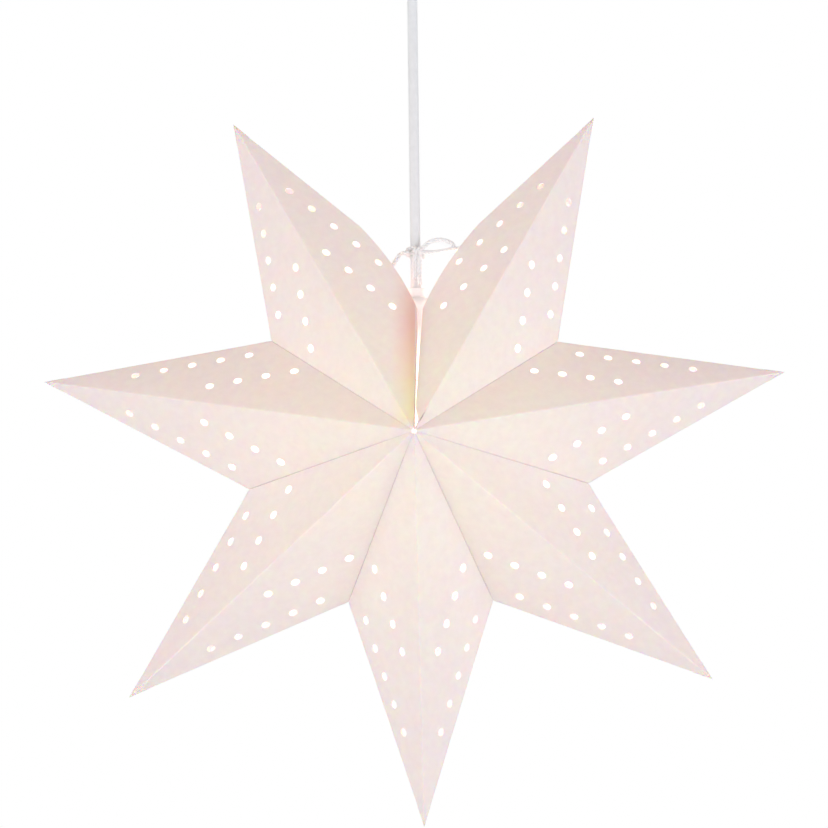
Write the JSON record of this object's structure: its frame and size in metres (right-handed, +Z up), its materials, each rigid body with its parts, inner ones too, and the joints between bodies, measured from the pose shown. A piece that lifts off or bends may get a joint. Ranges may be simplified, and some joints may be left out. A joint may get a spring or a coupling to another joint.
{
  "type": "star pendant",
  "caption": "Flat folding card star lantern with pointed arms and punched light holes, hung on a lamp cord with a small lampholder, bulb and ceiling cup.",
  "frame": {"origin": "centre of the ceiling plate's upper face", "axes": "+Z up, out of the ceiling face; the star's front looks towards -Y, its right-hand arms point to +X"},
  "size_m": [0.4502, 0.149, 0.569],
  "materials": {
    "star_card": "matt uncoated white card, about 300 g/m2, lets warm light through",
    "tie_string": "white twisted cotton string",
    "cord_sheath": "white flexible PVC, satin",
    "core_brown": "brown PVC insulation",
    "core_blue": "blue PVC insulation",
    "holder_plastic": "white moulded thermoplastic, satin gloss",
    "porcelain": "unglazed white steatite",
    "brass": "plain brass, rolled thread",
    "solder": "dull solder",
    "steel": "bright zinc-plated steel",
    "opal_glass": "opal glass, lit from inside",
    "stem_glass": "clear glass",
    "dark_glass": "black vitrite",
    "tungsten": "coiled wire",
    "zinc_plate": "pressed zinc-plated steel",
    "cup_plastic": "white moulded plastic, satin gloss",
    "grommet_plastic": "white polyamide, smooth",
    "block_plastic": "natural polyamide"
  },
  "bodies": {
    "ceiling": {"ceiling_plate": "zinc_plate", "ceiling_cup": "cup_plastic", "cup_screws": "steel", "cord_clamp": "cup_plastic", "clamp_screws": "steel", "terminal_block": "block_plastic", "block_screws": "steel", "cord_upper": "cord_sheath", "core_live": "core_brown", "core_neutral": "core_blue"},
    "grommet": {"cord_grommet": "grommet_plastic"},
    "lamp": {"cord": "cord_sheath", "gland_nut": "holder_plastic", "holder_cap": "holder_plastic", "holder_barrel": "holder_plastic", "cord_grip": "holder_plastic", "holder_insulator": "porcelain", "screw_shell": "brass", "centre_contact": "brass", "shell_rivet": "brass", "holder_terminals": "brass", "holder_terminal_screws": "steel", "holder_core_live": "core_brown", "holder_core_neutral": "core_blue"},
    "bulb_thread": {"bulb_tip_contact": "solder"},
    "bulb": {"bulb_insulator": "dark_glass", "bulb_cap": "brass", "bulb_glass": "opal_glass", "bulb_stem": "stem_glass", "bulb_wires": "steel", "filament": "tungsten"},
    "star": {"arm_4": "star_card", "tie_bow": "tie_string"},
    "arm_1": {"arm_1": "star_card", "tie_string_right": "tie_string", "string_tab_right": "star_card"},
    "arm_2": {"arm_2": "star_card"},
    "arm_3": {"arm_3": "star_card"},
    "arm_5": {"arm_5": "star_card"},
    "arm_6": {"arm_6": "star_card"},
    "arm_7": {"arm_7": "star_card", "tie_string_left": "tie_string", "string_tab_left": "star_card"}
  },
  "joints": [
    {"name": "sway", "type": "hinge", "parent": "ceiling", "child": "grommet", "pos_m": [0, 0, -0.038], "axis": [0, 1, 0], "range_deg": [-20, 20]},
    {"name": "swing", "type": "hinge", "parent": "grommet", "child": "lamp", "pos_m": [0, 0, -0.038], "axis": [1, 0, 0], "range_deg": [-20, 20]},
    {"name": "star_turn", "type": "hinge", "parent": "lamp", "child": "star", "pos_m": [0, 0, -0.34], "axis": [0, 0, 1], "continuous": true},
    {"name": "bulb_travel", "type": "slide", "parent": "lamp", "child": "bulb_thread", "axis": [0, 0, -1], "range_m": [0, 0.01411]},
    {"name": "bulb_turn", "type": "hinge", "parent": "bulb_thread", "child": "bulb", "pos_m": [0, 0, -0.34], "axis": [0, 0, -1], "range_deg": [0, 1801]},
    {"name": "arm_5_fold", "type": "hinge", "parent": "star", "child": "arm_5", "pos_m": [0, 0, -0.34], "axis": [0, -1, 0], "range_deg": [0, 43.9], "deforming": ["arm_5", "arm_4"]},
    {"name": "arm_6_fold", "type": "hinge", "parent": "star", "child": "arm_6", "pos_m": [0, 0, -0.34], "axis": [0, -1, 0], "range_deg": [0, 87.8], "deforming": ["arm_6"]},
    {"name": "arm_7_fold", "type": "hinge", "parent": "star", "child": "arm_7", "pos_m": [0, 0, -0.34], "axis": [0, -1, 0], "range_deg": [0, 131.7], "deforming": ["arm_7", "tie_string_left", "string_tab_left"]},
    {"name": "arm_3_fold", "type": "hinge", "parent": "star", "child": "arm_3", "pos_m": [0, 0, -0.34], "axis": [0, 1, 0], "range_deg": [0, 43.9], "deforming": ["arm_3"]},
    {"name": "arm_2_fold", "type": "hinge", "parent": "star", "child": "arm_2", "pos_m": [0, 0, -0.34], "axis": [0, 1, 0], "range_deg": [0, 87.8], "deforming": ["arm_2"]},
    {"name": "arm_1_fold", "type": "hinge", "parent": "star", "child": "arm_1", "pos_m": [0, 0, -0.34], "axis": [0, 1, 0], "range_deg": [0, 131.7], "deforming": ["arm_1", "tie_string_right", "string_tab_right"]}
  ],
  "couplings": [
    {"joint": "bulb_turn", "follows": "bulb_travel", "rad_per_m": 2226.5},
    {"joint": "arm_6_fold", "follows": "arm_5_fold", "ratio": 2},
    {"joint": "arm_7_fold", "follows": "arm_5_fold", "ratio": 3},
    {"joint": "arm_3_fold", "follows": "arm_5_fold", "ratio": 1},
    {"joint": "arm_2_fold", "follows": "arm_5_fold", "ratio": 2},
    {"joint": "arm_1_fold", "follows": "arm_5_fold", "ratio": 3}
  ]
}
